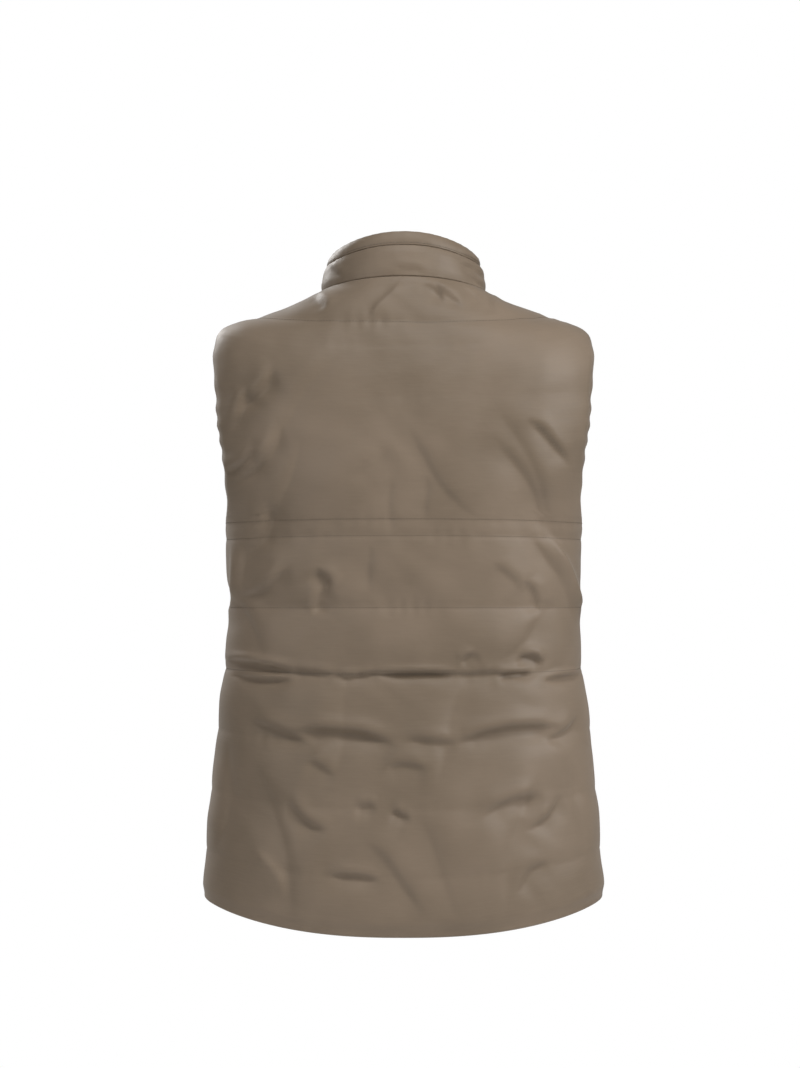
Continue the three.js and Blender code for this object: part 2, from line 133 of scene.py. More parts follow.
# Creases, each as from (x, z), to (x, z), bow, width, depth, lip. bow lifts the middle, depth is below the cloth and
# a ridge has a negative one, and lip is the height of the roll of cloth along the crease's upper side.
BACK_CREASES = (
    # the tuck at the waist
    ((-28, -401), (58, -403), 1, 4, 4.5, 2.2),
    ((58, -403), (100, -401), -2, 6, 2.0, 1.0),
    ((98, -402), (136, -403), 0, 4, 4.5, 2.0),
    ((-72, -404), (-28, -401), -2, 4.5, 3.0, 1.4),
    ((-187, -391), (-115, -399), 2, 5, 3.6, 2.2),
    ((-182, -406), (-118, -409), -1, 5, 3.4, 1.8),
    ((-118, -400), (-72, -405), 2, 5, 2.4, 1.0),
    ((122, -384), (147, -392), 3, 6, 4.0, 2.2),
    ((150, -410), (190, -405), 1, 4, 4.0, 2.2),
    ((62, -392), (76, -380), 2, 6, 2.2, 1.0),
    # below the waist
    ((-163, -458), (-102, -477), 4, 9, 3.2, 1.6),
    ((-114, -463), (-12, -478), 6, 9, 4.4, 2.4),
    ((5, -474), (56, -477), 2, 8, 2.6, 1.4),
    ((60, -473), (166, -460), 3, 9, 4.4, 2.2),
    ((152, -476), (184, -452), -3, 9, 3.0, 1.6),
    ((-19, -505), (25, -502), 4, 9, 2.4, 1.2),
    ((-102, -498), (-73, -509), 2, 10, 2.2, 1.0),
    ((-122, -541), (-82, -567), -4, 9, 3.2, 1.8),
    ((-50, -541), (-30, -544), 1, 7, 2.0, 1.0),
    ((-14, -548), (6, -556), 2, 7, 3.0, 1.4),
    ((84, -553), (144, -531), 3, 10, 3.2, 1.8),
    ((134, -568), (168, -537), -3, 10, 2.8, 1.4),
    ((120, -632), (152, -603), 2, 12, 2.4, 1.2),
    ((-78, -617), (-26, -621), 4, 7, 2.8, 1.6),
    ((-38, -584), (17, -651), 4, 14, 2.0, 0.6),
    ((-153, -588), (-126, -635), 3, 12, -2.4, 0.0),
    ((-184, -480), (-196, -590), -4, 14, 2.0, 0.8),
    ((176, -500), (190, -600), 4, 14, 2.2, 0.8),
    # from the armholes down
    ((-137, -80), (-171, -118), -3, 9, 3.2, 1.4),
    ((-164, -100), (-184, -141), -2, 8, 2.6, 1.2),
    ((-131, -144), (-174, -196), -8, 9, 3.6, 1.8),
    ((-156, -161), (-187, -188), -3, 8, 3.0, 1.4),
    ((-141, -221), (-158, -270), -4, 12, 2.6, 1.0),
    ((-180, -268), (-192, -350), -5, 11, -3.0, 0.0),
    ((-166, -262), (-176, -330), -3, 12, 2.4, 0.0),
    ((-121, -291), (-170, -321), -4, 9, 3.0, 1.6),
    ((-90, -290), (-80, -313), 2, 8, 3.2, 1.4),
    ((-80, -311), (-95, -337), 3, 8, 2.8, 1.2),
    ((130, -134), (171, -176), 4, 9, 3.2, 1.6),
    ((100, -154), (151, -254), 6, 15, 2.0, 0.8),
    ((151, -252), (192, -348), 6, 9, -3.6, 0.0),
    ((138, -256), (178, -346), 6, 12, 2.6, 0.0),
    ((96, -284), (120, -313), 2, 11, 1.8, 0.8),
    ((127, -304), (145, -337), 2, 9, 2.6, 1.2),
    # the middle of the back
    ((-14, -166), (-54, -195), 2, 14, 1.3, 0.4),
    ((5, -147), (73, -235), -5, 15, 1.5, 0.4),
    ((-14, -194), (-14, -253), 0, 12, 1.2, 0.3),
    ((23, -194), (24, -235), 0, 11, 1.2, 0.3),
    ((-38, -266), (-36, -313), 1, 13, 1.3, 0.3),
    # broad soft folds
    ((104, -128), (166, -296), 9, 22, 2.4, 1.4),
    ((-112, -156), (-172, -296), -8, 22, 2.2, 1.2),
    ((-62, -64), (-146, -176), 7, 24, 1.2, 0.6),
    ((66, -414), (34, -522), 5, 20, 1.5, 0.7),
    ((-58, -414), (-86, -536), -5, 22, 1.5, 0.7),
    ((-152, -504), (-118, -656), 6, 20, 1.9, 0.9),
    ((142, -508), (106, -648), 6, 20, 1.9, 0.9),
    ((20, -556), (62, -662), -5, 20, 1.5, 0.7),
    ((-196, -300), (-150, -384), 4, 16, 2.0, 1.0),
    ((150, -340), (100, -388), -4, 16, 1.8, 0.9),
    # below the collar
    ((-5, 16), (-37, -22), -3, 11, -1.8, 0.0),
    ((18, 14), (44, -4), 2, 8, 2.0, 0.9),
    ((34, 16), (62, -12), -2, 9, 2.2, 1.0),
    ((60, 12), (82, -8), 2, 8, 1.8, 0.8),
    ((88, 2), (98, -16), 0, 7, 1.6, 0.8),
    ((-92, 4), (-84, -14), 0, 7, 1.6, 0.8),
)
FRONT_CREASES = (
    ((-60, -470), (-12, -466), 3, 9, 3.0, 1.4),
    ((-176, -462), (-96, -474), 4, 10, 3.6, 1.8),
    ((-150, -404), (-84, -400), -3, 6, 3.4, 1.8),
    ((-60, -536), (-100, -556), 3, 10, 2.6, 1.2),
    ((-140, -590), (-162, -640), 3, 13, 2.2, 0.6),
    ((-176, -250), (-128, -330), -6, 13, 2.6, 0.8),
    ((-150, -150), (-176, -210), -5, 10, 3.0, 1.2),
    ((-64, -110), (-120, -190), 6, 16, 1.6, 0.4),
    ((14, -404), (66, -399), 3, 6, 3.2, 1.6),
    ((96, -472), (174, -458), 4, 10, 3.6, 1.8),
    ((22, -476), (70, -480), -3, 9, 2.8, 1.2),
    ((60, -548), (112, -536), 4, 11, 2.6, 1.2),
    ((130, -640), (158, -588), -3, 13, 2.2, 0.6),
    ((120, -300), (178, -236), 6, 13, 2.8, 0.8),
    ((140, -160), (178, -204), 5, 10, 3.0, 1.2),
    ((50, -96), (104, -170), -6, 16, 1.6, 0.4),
)
COLLAR_CREASES = (
    ((56, 54), (80, 34), 1, 4, 1.6, 0.8),
    ((62, 40), (86, 26), 2, 4, 1.6, 0.8),
    ((66, 28), (84, 16), 1, 4, 1.2, 0.6),
    ((-82, 40), (-64, 26), -1, 5, 1.0, 0.5),
    ((-10, 34), (22, 28), 1, 5, 0.8, 0.4),
)


def smooth(t):
    t = np.clip(t, 0, 1)
    return t * t * (3 - 2 * t)


# ------------------------------------------------------------------ the form


class Rings:
    """Smooth curves through the columns of a ring table, which never overshoot."""

    def __init__(self, rows):
        self.low = np.array([row[0] for row in rows], float)
        self.values = {name: np.array([row[i] for row in rows], float) for i, name in enumerate(RING_COLUMNS)}
        self.slopes = {name: self._tangents(column) for name, column in self.values.items()}

    def _tangents(self, column):
        slope = np.diff(column) / np.diff(self.low)
        inner = [0 if a * b <= 0 else 2 * a * b / (a + b) for a, b in zip(slope[:-1], slope[1:])]
        return np.array([slope[0], *inner, slope[-1]])

    def at(self, name, height):
        k = np.clip(np.searchsorted(self.low, height, side="right") - 1, 0, len(self.low) - 2)
        span = self.low[k + 1] - self.low[k]
        t = (height - self.low[k]) / span
        v, m = self.values[name], self.slopes[name]
        ends = v[k] * (1 + 2 * t) * (1 - t) ** 2 + v[k + 1] * t * t * (3 - 2 * t)
        return ends + span * (m[k] * t * (1 - t) ** 2 - m[k + 1] * t * t * (1 - t))


BODY, COLLAR = Rings(BODY_RINGS), Rings(COLLAR_RINGS)


def form(height, angle):
    """Points of the middle surface, for arrays of ring heights and angles round them."""
    height, angle = np.broadcast_arrays(np.asarray(height, float), np.asarray(angle, float))
    value = {n: np.where(height > NECK, COLLAR.at(n, height), BODY.at(n, height)) for n in RING_COLUMNS[1:]}
    c, s = np.cos(angle), np.sin(angle)
    power = 2 / value["squareness"]
    depth = np.where(s >= 0, value["back_depth"], value["front_depth"])
    end = np.where(s >= 0, height, value["front"])
    return np.stack(
        [
            value["half_width"] * np.sign(c) * np.abs(c) ** power,
            depth * np.sign(s) * np.abs(s) ** power,
            value["side"] + (end - value["side"]) * s * s,
        ],
        axis=-1,
    )


def outward(height, angle):
    """Outward directions there; at the neck seam the mean of the body's and the collar's."""
    dh, da = 0.5, 0.01
    up = form(np.minimum(COLLAR_TOP, height + dh), angle) - form(np.maximum(HEM, height - dh), angle)
    n = np.cross(form(height, angle + da) - form(height, angle - da), up)
    return n / np.linalg.norm(n, axis=-1, keepdims=True)


def armhole_angle(height, towards):
    """How far round from the side seam a ring meets the armhole, to the back (1) or the front (-1)."""
    middle, half = (ARMHOLE["top"] + ARMHOLE["bottom"]) / 2, (ARMHOLE["top"] - ARMHOLE["bottom"]) / 2
    reach = ARMHOLE["back"] if towards > 0 else ARMHOLE["front"]

    def inside(angle):
        p = form(height, towards * angle)
        edge = 1 - abs((p[2] - middle) / half) ** ARMHOLE["roundness"]
        return edge > 0 and abs(p[1]) < reach * edge ** (1 / ARMHOLE["roundness"])

    if height > NECK or not inside(1e-6):
        return 0.0
    low, high = 0.0, math.pi / 3
    for _ in range(26):
        mid = (low + high) / 2
        low, high = (mid, high) if inside(mid) else (low, mid)
    return low


def front_angle(height, distance, side):
    """The angle on the front where a ring is this far from the zip's centre line."""
    rings = COLLAR if height > NECK else BODY
    c = (distance / rings.at("half_width", height)) ** (rings.at("squareness", height) / 2)
    return 2 * math.pi - math.acos(c) if side > 0 else math.pi + math.acos(c)


# ------------------------------------------------------------------ wadding, creases and edges


def fullness(height, lines):
    """From 0 at a full stitch line to 1 at the crown of a channel."""
    order = sorted(lines)
    at = np.array([line[0] for line in order], float)
    pinch = np.array([line[1] for line in order])
    k = np.clip(np.searchsorted(at, height, side="right") - 1, 0, len(at) - 2)
    w = np.clip((height - at[k]) / (at[k + 1] - at[k]), 0, 1)
    held = pinch[k] * (1 - w) + pinch[k + 1] * w
    crown = np.minimum(1, (at[k + 1] - at[k]) / FULL_CHANNEL)
    # the cloth turns down steeply beside the stitches and is nearly flat between them
    rise = np.sin(math.pi * w) ** 0.55
    return 1 - held + held * crown * rise


def crease_depth(x, z, creases):
    """How deep the creases are at places seen from straight ahead."""
    total = np.zeros_like(x)
    for (ax, az), (bx, bz), bow, width, depth, lip in creases:
        width = width * CREASE["sharpness"]
        dx, dz = bx - ax, bz - az
        length = math.hypot(dx, dz)
        nx, nz = -dz / length, dx / length
        if nz < 0:
            nx, nz = -nx, -nz
        t = ((x - ax) * dx + (z - az) * dz) / length**2
        off = (x - ax) * nx + (z - az) * nz - bow * 4 * t * (1 - t)
        # a slow wander keeps the line from being ruled
        off = off - CREASE["wander"] * width * np.sin(t * 5.1 + ax * 0.3)
        starts = smooth((t + CREASE_OVERRUN) / CREASE_FADE)
        along = starts * smooth((1 + CREASE_OVERRUN - t) / CREASE_FADE)
        # steep on the upper side, where the cloth rolls over, and soft below; narrower towards both ends
        spread = np.where(off > 0, width * CREASE["above"], width * CREASE["below"]) * (0.6 + 0.4 * along)
        trough = np.exp(-np.abs(off / spread) ** 1.35)
        roll = (off - width * CREASE["roll"]) / (width * CREASE["roll"])
        total += CREASE["gain"] * along * (depth * trough - lip * np.exp(-(roll**2)))
    return total


def ripple(x, z, seed):
    """Small soft unevenness of worn padded cloth: crossed waves, each bent by a longer one, in two sizes."""
    a = np.sin(x * 0.043 + 1.7 * np.sin(z * 0.021 + seed) + seed) * np.sin(z * 0.037 + 1.3 * np.sin(x * 0.017 - seed))
    b = np.sin(x * 0.11 + 2.1 * np.sin(z * 0.047 + 2 * seed)) * np.sin(z * 0.083 + 1.9 * np.sin(x * 0.039 + seed))
    return 1.3 * a + 0.45 * b


def puckers(x, height, seed, lines):
    """Short gathers that run off each line of stitching and die away in the wadding."""
    total = np.zeros_like(x)
    for i, (line, pinch) in enumerate(lines):
        off = np.abs(height - line)
        bend = 2.2 * np.sin(x * 0.061 + i * 1.9 + seed)
        phase = x * PUCKERS["per_mm"] + bend + 1.6 * np.sin(x * 0.023 - i + seed)
        strength = 0.5 + 0.5 * np.sin(x * 0.031 + i * 2.3 + seed)
        total += pinch * PUCKERS["height"] * strength * np.sin(phase) * np.exp(-((off / PUCKERS["reach"]) ** 2))
    return total


# ------------------------------------------------------------------ meshes


def spaced(total):
    """Distances from 0 to total, closer together at both ends."""
    *outer, last = EDGE_STEPS
    inner = max(2, round((total - 2 * last) / CLOTH_STEP))
    middle = np.linspace(last, total - last, inner + 1)
    return np.concatenate([outer, middle, [total - e for e in reversed(outer)]])


def ring_angles(height, start, end, width):
    """The angles of the mesh's columns on a ring, as they would be spaced over this width."""
    fine = np.linspace(start, end, 241)
    points = form(height, fine)
    along = np.concatenate([[0], np.cumsum(np.linalg.norm(np.diff(points, axis=0), axis=1))])
    return np.interp(spaced(width) / width * along[-1], along, fine)


def grid_mesh(name, points, uv):
    """A sheet with one vertex for each entry of points, made from a grid whose faces point outwards."""
    rows, columns = points.shape[:2]
    bm = bmesh.new()
    layer = bm.loops.layers.uv.new("cloth")
    bmesh.ops.create_grid(bm, x_segments=columns - 1, y_segments=rows - 1, size=0.5)
    bm.verts.ensure_lookup_table()
    place = {}
    for v in bm.verts:
        c, r = round((v.co.x + 0.5) * (columns - 1)), round((v.co.y + 0.5) * (rows - 1))
        place[v] = (r, c)
    for v, (r, c) in place.items():
        v.co = points[r, c] * MM
    for face in bm.faces:
        for loop in face.loops:
            loop[layer].uv = uv[place[loop.vert]] * MM
    mesh = bpy.data.meshes.new(name)
    bm.to_mesh(mesh)
    bm.free()
    mesh.shade_smooth()
    piece = bpy.data.objects.new(name, mesh)
    bpy.context.scene.collection.objects.link(piece)
    return piece


def thicken(piece, wall):
    """Gives a sheet its wall, inwards from the face that shows."""
    solidify = piece.modifiers.new("wall", "SOLIDIFY")
    solidify.thickness = wall * MM
    solidify.offset = -1
    solidify.use_even_offset = False
    solidify.use_rim = True
    bpy.context.view_layer.objects.active = piece
    with bpy.context.temp_override(object=piece, active_object=piece, selected_objects=[piece]):
        bpy.ops.object.modifier_apply(modifier=solidify.name)


def edge_distance(points):
    """How far each point of a sheet lies from the nearest point of its four edges."""
    edges = np.concatenate([points[0], points[-1], points[:, 0], points[:, -1]])
    tree = kdtree.KDTree(len(edges))
    for i, p in enumerate(edges):
        tree.insert(p, i)
    tree.balance()
    flat = points.reshape(-1, 3)
    return np.array([tree.find(p)[2] for p in flat]).reshape(points.shape[:2])


def round_drop(distance, radius):
    """How far a rolled edge falls away within its radius."""
    inside = np.clip(radius - distance, 0, radius)
    return radius - np.sqrt(np.maximum(radius**2 - inside**2, 0))


class Sheet:
    """A cloth panel: rings from low to high, and the angles that it spans on each."""

    def __init__(self, low, high, span, width):
        self.heights = low + spaced(high - low)
        angles = np.array([ring_angles(h, *span(h), width) for h in self.heights])
        self.ring = np.broadcast_to(self.heights[:, None], angles.shape)
        self.middle = form(self.ring, angles)
        self.out = outward(self.ring, angles)
        for edge, inner in ((0, 1), (-1, -2)):
            self._lap(self.middle[:, edge], self.middle[:, inner])
            self._lap(self.middle[edge], self.middle[inner])
        steps = np.linalg.norm(np.diff(self.middle, axis=1), axis=2)
        across = np.concatenate([np.zeros((len(steps), 1)), np.cumsum(steps, axis=1)], axis=1)
        self.across = across - across[:, -1:] / 2
        rise = np.linalg.norm(np.diff(self.middle[:, self.middle.shape[1] // 2], axis=0), axis=1)
        self.along = np.concatenate([[0], np.cumsum(rise)])
        self.edge = edge_distance(self.middle)

    @staticmethod
    def _lap(edge, inner):
        """Moves an edge outwards by its half of the lap."""
        step = inner - edge
        edge -= step / np.maximum(np.linalg.norm(step, axis=-1, keepdims=True), 1e-6) * SEAM_LAP / 2

    def flat_size(self):
        """The widest ring and the length, and the area that is cut, in metres."""
        widths = np.ptp(self.across, axis=1)
        area = float(np.sum((widths[1:] + widths[:-1]) / 2 * np.diff(self.along))) * MM * MM
        return (round(float(widths.max() * MM), 3), round(float(self.along[-1] * MM), 3)), round(area, 4)

    def lay(self, name, lift, wall):
        """Makes the sheet with its shell lifted off the middle surface."""
        self.surface = self.middle + self.out * lift[..., None]
        uv = np.stack([self.across, np.broadcast_to(self.along[:, None], self.across.shape)], axis=-1)
        piece = grid_mesh(name, self.surface, uv)
        thicken(piece, wall)
        return piece


def body_lift(sheet, creases, facing, seed):
    """How far the shell of a body panel stands off the middle surface; facing is 1 on the back and -1 in front."""
    x, z = -facing * sheet.middle[..., 0], sheet.middle[..., 2]
    wadding = LOFT * fullness(sheet.ring, STITCH_LINES) * smooth(sheet.edge / LOFT_MARGIN)
    soft = smooth(sheet.edge / 22)
    uneven = (ripple(x, z, seed) + puckers(x, sheet.ring, seed, STITCH_LINES)) * soft
    near = smooth(sheet.edge / 9)
    beside_armhole = smooth((z - ARMHOLE["bottom"]) / 30) * smooth((ARMHOLE["top"] - z) / 20)
    phase = z * ARMHOLE_GATHERS["per_mm"] + 2.2 * np.sin(z * 0.047 + seed)
    gathers = np.sin(phase) * np.exp(-sheet.edge / ARMHOLE_GATHERS["reach"])
    uneven = uneven + ARMHOLE_GATHERS["height"] * gathers * beside_armhole
    return SEAM_WALL / 2 + wadding + uneven - crease_depth(x, z, creases) * near - round_drop(sheet.edge, EDGE_ROLL)


# ------------------------------------------------------------------ the pieces of cloth


def back_span(height):
    edge = armhole_angle(height, 1)
    return edge, math.pi - edge


def front_span(side):
    """The span of the left front (side 1) or the right front (side -1)."""

    def span(height):
        edge = armhole_angle(height, -1)
        if side > 0:
            return front_angle(height, FRONT_EDGE, 1), 2 * math.pi - edge
        return math.pi + edge, front_angle(height, FRONT_EDGE, -1)

    return span


def collar_span(height):
    return front_angle(height, FRONT_EDGE, 1) - 2 * math.pi, front_angle(height, FRONT_EDGE, -1)


def make_back():
    sheet = Sheet(HEM, NECK, back_span, PANEL_WIDTHS["back"])
    return sheet, sheet.lay("back", body_lift(sheet, BACK_CREASES, facing=1, seed=0.4), WALL)


def make_front(name, side):
    sheet = Sheet(HEM, NECK, front_span(side), PANEL_WIDTHS["front"])
    return sheet, sheet.lay(name, body_lift(sheet, FRONT_CREASES, facing=-1, seed=2.6 * side), WALL)


def make_collar_part(name, low, high, seed):
    sheet = Sheet(low, high, collar_span, PANEL_WIDTHS["collar"])
    back = sheet.middle[..., 1] > 0
    x, z = np.where(back, -1, 1) * sheet.middle[..., 0], sheet.middle[..., 2]
    wadding = COLLAR_LOFT * smooth(sheet.edge / COLLAR_MARGIN)
    uneven = 0.3 * ripple(x * 1.7, z * 1.7, seed) * smooth(sheet.edge / 6)
    phase = sheet.across * COLLAR_GATHERS["per_mm"] + 2 * np.sin(sheet.across * 0.07 + seed)
    gathers = COLLAR_GATHERS["height"] * np.sin(phase) * np.exp(-sheet.edge / COLLAR_GATHERS["reach"])
    creases = crease_depth(x, z, COLLAR_CREASES) * smooth(sheet.edge / 5) * back
    lift = SEAM_WALL / 2 + wadding + uneven + gathers - creases - round_drop(sheet.edge, COLLAR_EDGE_ROLL)
    return sheet, sheet.lay(name, lift, COLLAR_WALL)


# ------------------------------------------------------------------ stitches and zip teeth

STITCH = {"pitch": 3.6, "length": 2.7, "thread": 0.5}
YOKE_RING = -27
STITCHED_RINGS = (-238, -254, -330, -402)
COLLAR_STITCHED_RING = COLLAR_FOLD + 3
UNSEWN_COLUMNS = 4  # of the mesh, at each end of a line of stitches
# offset is to each side of the centre line, and sink is into the tape
TOOTH = {"pitch": 2.6, "length": 1.5, "reach": 3.0, "height": 2.0, "offset": 1.0, "sink": 0.4, "rounding": 0.3}
TEETH_FROM, TEETH_TO = HEM + 2, COLLAR_TOP - 3


def small_block(bm, place, along, out, size):
    """A block of (across, along, out) size with its middle at place."""
    across = np.cross(along, out)
    axes = [axis / np.linalg.norm(axis) for axis in (across, along, np.cross(across, along))]
    columns = [Vector(axis * length * MM) for axis, length in zip(axes, size)]
    matrix = Matrix(columns).transposed().to_4x4()
    matrix.translation = Vector(place * MM)
    bmesh.ops.create_cube(bm, size=1.0, matrix=matrix)


def follow(points, outs, pitch):
    """Places, directions and outward directions evenly along a line of points."""
    steps = np.linalg.norm(np.diff(points, axis=0), axis=1)
    along = np.concatenate([[0], np.cumsum(steps)])
    at = np.arange(pitch / 2, along[-1], pitch)
    place = np.stack([np.interp(at, along, points[:, i]) for i in range(3)], axis=-1)
    out = np.stack([np.interp(at, along, outs[:, i]) for i in range(3)], axis=-1)
    return zip(place, np.gradient(place, axis=0), out)


def joined(name, bm, material, body, nodes=()):
    """One piece from all that the bmesh holds."""
    mesh = bpy.data.meshes.new(name)
    bm.to_mesh(mesh)
    bm.free()
    piece = bpy.data.objects.new(name, mesh)
    bpy.context.scene.collection.objects.link(piece)
    mesh.materials.append(material)
    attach(piece, body)
    if nodes:
        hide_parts(*nodes)
    return piece


def make_stitching(rings_by_sheet, material):
    """Stitches along the row of each sheet that is nearest to each of its rings."""
    bm = bmesh.new()
    size = (STITCH["thread"], STITCH["length"], STITCH["thread"])
    sewn_columns = slice(UNSEWN_COLUMNS, -UNSEWN_COLUMNS)
    for sheet, rings in rings_by_sheet:
        for ring in rings:
            row = int(np.argmin(np.abs(sheet.heights - ring)))
            line = follow(sheet.surface[row, sewn_columns], sheet.out[row, sewn_columns], STITCH["pitch"])
            for place, along, out in line:
                small_block(bm, place, along, out, size)
    return joined("stitching", bm, material, "vest")


def make_teeth(material):
    """Closed teeth, left and right in turn, along the zip's centre line."""
    heights = np.linspace(TEETH_FROM, TEETH_TO, 400)
    middle, outs = form(heights, FRONT_MIDDLE), outward(heights, FRONT_MIDDLE)
    bm = bmesh.new()
    size = (TOOTH["reach"], TOOTH["length"], TOOTH["height"])
    for i, (place, along, out) in enumerate(follow(middle, outs, TOOTH["pitch"] / 2)):
        side = 1 if i % 2 else -1
        aside = np.array([side * TOOTH["offset"], 0, 0])
        small_block(bm, place + aside - out * TOOTH["sink"], along, out, size)
    bmesh.ops.bevel(
        bm,
        geom=bm.edges,
        offset=TOOTH["rounding"] * MM,
        offset_type="OFFSET",
        segments=1,
        profile=0.5,
        affect="EDGES",
        material=-1,
    )
    return joined("teeth", bm, material, "vest", ("zip_teeth",))


# ------------------------------------------------------------------ materials


class Socket:
    """Wraps a shader socket, so that sums and products of values are written as such."""

    def __init__(self, maker, link):
        self.maker, self.link = maker, link

    def _math(self, operation, a, b):
        return self.maker.node("ShaderNodeMath", {"operation": operation}, (a, b))

    def __add__(self, other):
        return self._math("ADD", self, other)

    __radd__ = __add__

    def __mul__(self, other):
        return self._math("MULTIPLY", self, other)

    __rmul__ = __mul__


class Finish:
    """A material whose nodes are made one at a time."""

    def __init__(self, name):
        self.material = bpy.data.materials.new(name)
        self.material.use_nodes = True
        self.tree = self.material.node_tree
        self.tree.nodes.clear()

    def node(self, kind, settings=None, values=(), output=0):
        """Adds a node: its settings first, then its sockets by order or by name. Gives one of its outputs."""
        made = self.tree.nodes.new(kind)
        for key, value in (settings or {}).items():
            setattr(made, key, value)
        pairs = values.items() if isinstance(values, dict) else enumerate(values)
        for key, value in pairs:
            if isinstance(value, Socket):
                self.tree.links.new(value.link, made.inputs[key])
            else:
                made.inputs[key].default_value = value
        return Socket(self, made.outputs[output]) if made.outputs else None

    def ramp(self, factor, low, high):
        """A soft step of a value from 0 at low to 1 at high."""
        return self.node("ShaderNodeMapRange", {"interpolation_type": "SMOOTHSTEP"}, {0: factor, 1: low, 2: high})

    def mix(self, factor, a, b):
        """A colour from a at 0 to b at 1."""
        return self.node("ShaderNodeMix", {"data_type": "RGBA"}, {0: factor, 6: a, 7: b}, output=2)

    def noise(self, place, scale, detail=2.0, roughness=0.5):
        values = {"Vector": place, "Scale": scale, "Detail": detail, "Roughness": roughness}
        return self.node("ShaderNodeTexNoise", None, values)

    def stretched(self, place, scale):
        """The same places with a scale for each direction."""
        return self.node("ShaderNodeMapping", None, {"Vector": place, "Scale": scale})

    def bump(self, height, strength, distance, normal=None):
        values = {"Height": height, "Strength": strength, "Distance": distance}
        if normal:
            values["Normal"] = normal
        return self.node("ShaderNodeBump", None, values)

    def surface(self, **sockets):
        shader = self.node("ShaderNodeBsdfPrincipled", None, {k.replace("_", " "): v for k, v in sockets.items()})
        self.node("ShaderNodeOutputMaterial", None, {"Surface": shader})
        return self.material


def linear(red, green, blue, alpha=1.0):
    """A colour written as it looks, from 0 to 255, as a shader takes it."""
    one = [v / 255 / 12.92 if v / 255 <= 0.04045 else ((v / 255 + 0.055) / 1.055) ** 2.4 for v in (red, green, blue)]
    return (*one, alpha)


WEAVE_SCALE = 420.0


def shell_finish():
    """Olive taffeta: a tight plain weave with a soft sheen, faint broad shade changes and fine dry wrinkles."""
    cloth = Finish("olive_taffeta")
    uv = cloth.node("ShaderNodeUVMap", {"uv_map": "cloth"})
    place = cloth.node("ShaderNodeTexCoord", output=3)
    broad = cloth.noise(place, 7.0, 3.0)
    fine = cloth.noise(cloth.stretched(uv, (1.0, 3.2, 1.0)), 60.0, 4.0, 0.6)
    weaving = {"Vector": uv, "Scale": WEAVE_SCALE, "Distortion": 0.6}
    warp, weft = (cloth.node("ShaderNodeTexWave", {"bands_direction": way}, weaving) for way in "XY")
    weave = warp * 0.5 + weft * 0.5
    slub = cloth.noise(cloth.stretched(uv, (30.0, 900.0, 1.0)), 1.0, 2.0)
    shade = cloth.ramp(broad, 0.35, 0.68)
    base = cloth.mix(shade, linear(114, 99, 82), linear(126, 110, 93))
    threads = cloth.ramp(slub * 0.6 + fine * 0.4, 0.3, 0.75)
    colour = cloth.mix(threads * 0.16, base, linear(140, 124, 104))
    wrinkles = cloth.noise(cloth.stretched(uv, (22.0, 40.0, 1.0)), 1.0, 3.0, 0.55)
    normal = cloth.bump(wrinkles, 0.35, 0.0016)
    normal = cloth.bump(weave + slub * 0.5, 0.10, 0.00012, normal)
    rough = 0.49 + fine * 0.12
    return cloth.surface(
        Base_Color=colour,
        Roughness=rough,
        Normal=normal,
        Specular_IOR_Level=0.42,
        Sheen_Weight=0.12,
        Sheen_Roughness=0.45,
    )


def thread_finish():
    thread = Finish("sewing_thread")
    place = thread.node("ShaderNodeTexCoord", output=3)
    twist = thread.noise(place, 900.0, 1.0)
    colour = thread.mix(twist, linear(88, 77, 64), linear(112, 99, 84))
    return thread.surface(Base_Color=colour, Roughness=0.6)


def tape_finish():
    tape = Finish("zip_tape_weave")
    place = tape.node("ShaderNodeTexCoord", output=3)
    rib = tape.node("ShaderNodeTexWave", {"bands_direction": "X"}, {"Vector": place, "Scale": 260.0, "Distortion": 0.4})
    grain = tape.noise(place, 700.0, 2.0)
    colour = tape.mix(rib * 0.5 + grain * 0.4, linear(74, 65, 54), linear(98, 87, 74))
    return tape.surface(Base_Color=colour, Roughness=0.85, Normal=tape.bump(rib + grain, 0.4, 0.0003))


def tooth_finish():
    tooth = Finish("moulded_teeth")
    place = tooth.node("ShaderNodeTexCoord", output=3)
    speck = tooth.noise(place, 420.0, 2.0)
    colour = tooth.mix(speck, linear(72, 64, 54), linear(88, 79, 67))
    return tooth.surface(Base_Color=colour, Roughness=0.38 + speck * 0.15, Normal=tooth.bump(speck, 0.15, 0.0002))


def metal_finish():
    metal = Finish("dark_painted_zinc")
    place = metal.node("ShaderNodeTexCoord", output=3)
    wear = metal.ramp(metal.noise(place, 260.0, 4.0, 0.65), 0.45, 0.75)
    colour = metal.mix(wear, linear(70, 66, 60), linear(104, 98, 90))
    normal = metal.bump(metal.noise(place, 800.0, 2.0), 0.12, 0.0001)
    return metal.surface(Base_Color=colour, Roughness=0.3 + wear * 0.18, Metallic=0.75, Normal=normal)


# ------------------------------------------------------------------ the making

back_sheet, back = make_back()
front_sheets = {side: make_front(f"{word}_front", side) for word, side in (("left", 1), ("right", -1))}
stand_sheet, stand = make_collar_part("collar_lower", NECK, COLLAR_FOLD, 0.8)
band_sheet, band = make_collar_part("collar_band", COLLAR_FOLD, COLLAR_TOP, 2.9)

shell = shell_finish()
cloth_pieces = (
    (back_sheet, back, "back_panel"),
    (*front_sheets[1], "front_left"),
    (*front_sheets[-1], "front_right"),
    (stand_sheet, stand, "collar_stand"),
    (band_sheet, band, "collar_top_band"),
)
for sheet, piece, node in cloth_pieces:
    piece.data.materials.append(shell)
    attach(piece, "vest")
    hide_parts(node)
    flat, area = sheet.flat_size()

